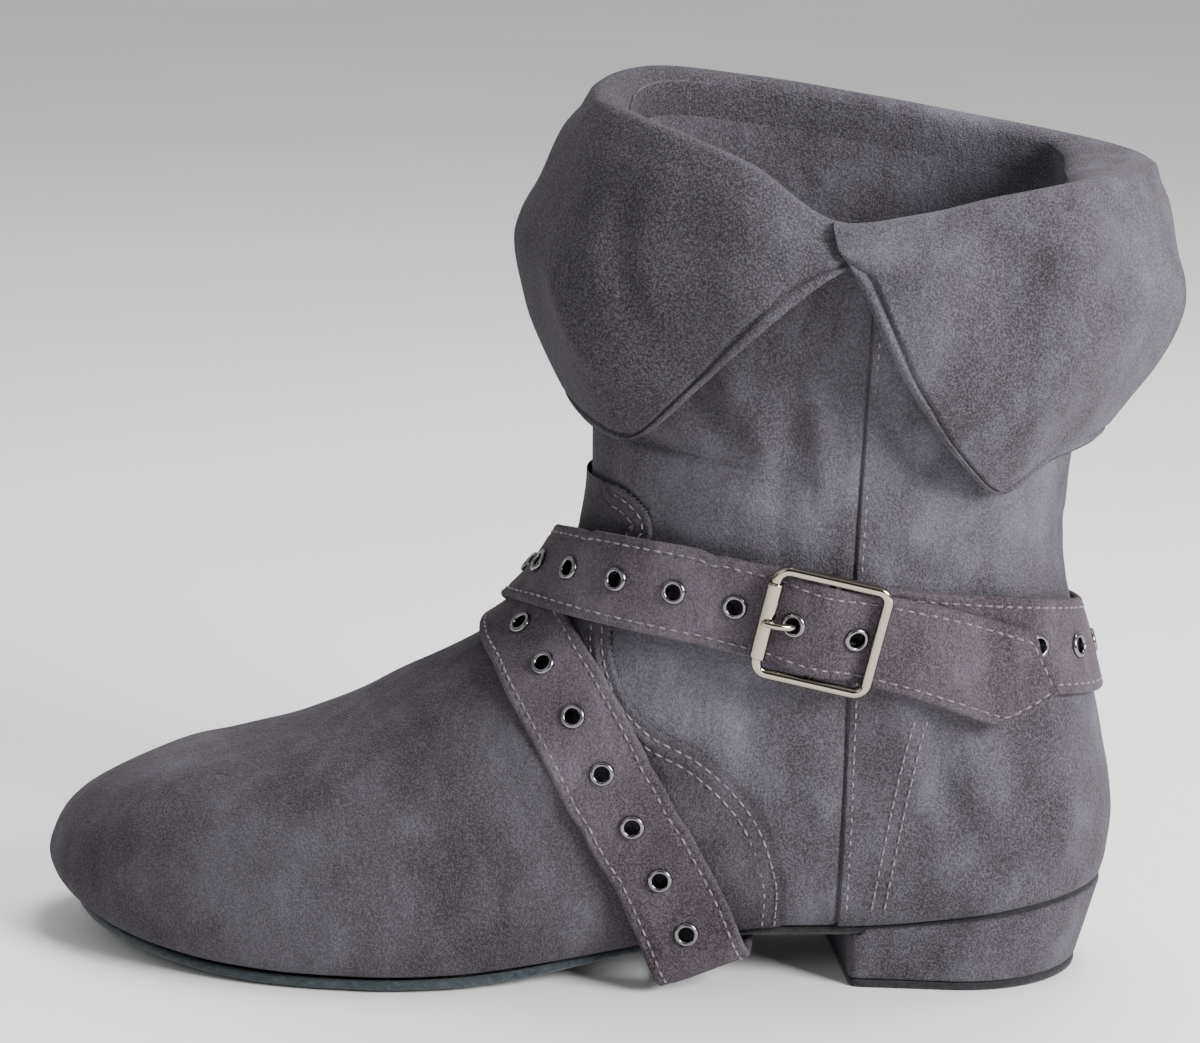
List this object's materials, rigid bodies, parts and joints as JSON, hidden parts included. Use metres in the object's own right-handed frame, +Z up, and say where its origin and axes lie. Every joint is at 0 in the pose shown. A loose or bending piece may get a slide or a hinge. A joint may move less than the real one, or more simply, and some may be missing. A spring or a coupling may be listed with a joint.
{
  "type": "dance boot",
  "caption": "Low-heeled suede dance boot with a flared fold-over cuff and an eyeleted strap crossed over the instep, led under the arch and closed by a square roller buckle.",
  "frame": {"origin": "middle of the boot's box, on the floor it stands on", "axes": "+X towards the heel (the toe points to -X), +Y towards the inner side of the foot, +Z up"},
  "size_m": [0.272, 0.11, 0.2123],
  "materials": {
    "suede": "matt napped microsuede",
    "strap_suede": "matt napped microsuede, stitched edges",
    "sole_suede": "matt fibrous suede",
    "lining": "matt",
    "buckle_metal": "polished nickel plate",
    "eyelet_metal": "satin gunmetal plate"
  },
  "bodies": {
    "root": {"buckle_frame": "buckle_metal", "buckle_prong": "buckle_metal", "buckle_roller": "buckle_metal", "cuff": "suede", "eyelet_01": "eyelet_metal", "eyelet_02": "eyelet_metal", "eyelet_03": "eyelet_metal", "eyelet_04": "eyelet_metal", "eyelet_05": "eyelet_metal", "eyelet_06": "eyelet_metal", "eyelet_07": "eyelet_metal", "eyelet_08": "eyelet_metal", "eyelet_09": "eyelet_metal", "eyelet_10": "eyelet_metal", "eyelet_11": "eyelet_metal", "eyelet_12": "eyelet_metal", "eyelet_13": "eyelet_metal", "eyelet_14": "eyelet_metal", "eyelet_15": "eyelet_metal", "eyelet_16": "eyelet_metal", "eyelet_17": "eyelet_metal", "eyelet_18": "eyelet_metal", "eyelet_19": "eyelet_metal", "eyelet_20": "eyelet_metal", "eyelet_21": "eyelet_metal", "eyelet_22": "eyelet_metal", "eyelet_23": "eyelet_metal", "eyelet_24": "eyelet_metal", "eyelet_25": "eyelet_metal", "eyelet_26": "eyelet_metal", "eyelet_27": "eyelet_metal", "eyelet_28": "eyelet_metal", "eyelet_29": "eyelet_metal", "eyelet_30": "eyelet_metal", "eyelet_31": "eyelet_metal", "eyelet_32": "eyelet_metal", "eyelet_33": "eyelet_metal", "eyelet_34": "eyelet_metal", "heel": "suede", "heel_lift": "sole_suede", "insole": "lining", "outsole": "sole_suede", "strap": "strap_suede", "upper": "suede", "vamp": "suede"}
  },
  "joints": []
}
